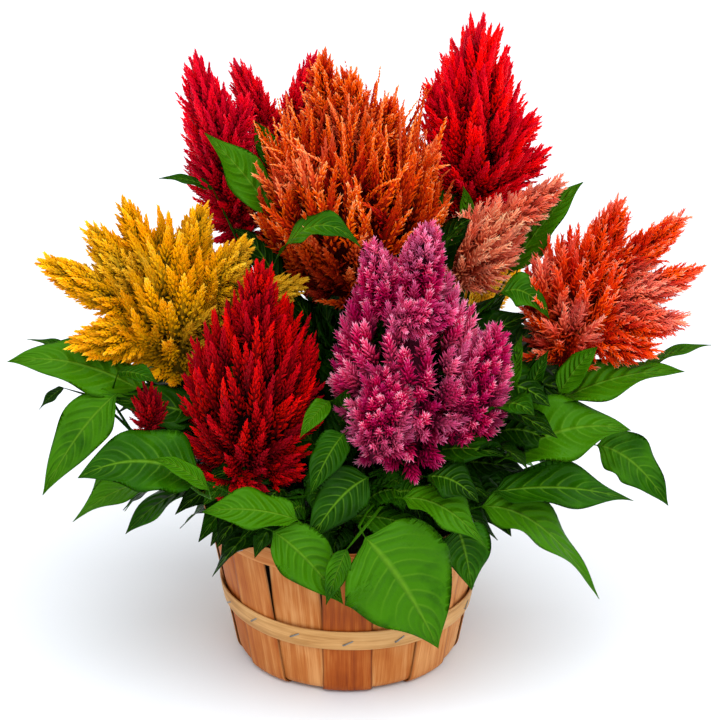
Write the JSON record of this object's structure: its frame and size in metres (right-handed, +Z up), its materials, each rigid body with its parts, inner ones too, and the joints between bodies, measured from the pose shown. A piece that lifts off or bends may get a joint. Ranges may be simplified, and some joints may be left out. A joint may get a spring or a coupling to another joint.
{
  "type": "plume celosia in a wood splint basket",
  "caption": "Mixed plume celosia with feathery flower heads and drooping leaves, planted in a round bent-wood splint basket.",
  "frame": {"origin": "middle of the basket's underside, on the flat of the lowest splint", "axes": "+Z up, -Y towards the side the planting faces, +X to the right seen from that side"},
  "size_m": [0.593, 0.3974, 0.548],
  "materials": {
    "splint_wood": "bare peeled poplar veneer, slightly furry grain",
    "hoop_wood": "smoother pale bent strip",
    "pot_plastic": "thin black nursery pot",
    "potting_mix": "dark crumbly peat mix",
    "foliage": "soft green leaf with a low sheen and pale veins",
    "petals_crimson": "matt feathery florets",
    "petals_magenta": "matt feathery florets",
    "petals_yellow": "matt feathery florets",
    "petals_orange": "matt feathery florets",
    "petals_redleft": "matt feathery florets",
    "petals_scarlet": "matt feathery florets",
    "petals_salmon": "matt feathery florets",
    "petals_coral": "matt feathery florets"
  },
  "bodies": {
    "root": {"splint_outer_1": "splint_wood", "splint_outer_2": "splint_wood", "splint_outer_3": "splint_wood", "splint_outer_4": "splint_wood", "splint_inner_1": "splint_wood", "splint_inner_2": "splint_wood", "splint_inner_3": "splint_wood", "splint_inner_4": "splint_wood", "rim_hoop_outer": "splint_wood", "rim_hoop_inner": "splint_wood", "middle_hoop": "hoop_wood", "grow_pot": "pot_plastic", "potting_mix": "potting_mix", "head_crimson": "petals_crimson", "head_magenta": "petals_magenta", "head_yellow": "petals_yellow", "head_orange": "petals_orange", "head_redleft": "petals_redleft", "head_redfork": "petals_redleft", "head_scarlet": "petals_scarlet", "head_salmon": "petals_salmon", "head_coral": "petals_coral", "head_bud": "petals_crimson", "head_rearmagenta": "petals_magenta", "head_rearyellow": "petals_yellow", "head_rearcrimson": "petals_crimson", "leafy_stem_crimson": "foliage", "leafy_stem_magenta": "foliage", "leafy_stem_yellow": "foliage", "leafy_stem_orange": "foliage", "leafy_stem_redleft": "foliage", "leafy_stem_redfork": "foliage", "leafy_stem_scarlet": "foliage", "leafy_stem_salmon": "foliage", "leafy_stem_coral": "foliage", "leafy_stem_bud": "foliage", "leafy_stem_rearmagenta": "foliage", "leafy_stem_rearyellow": "foliage", "leafy_stem_rearcrimson": "foliage"}
  },
  "joints": []
}
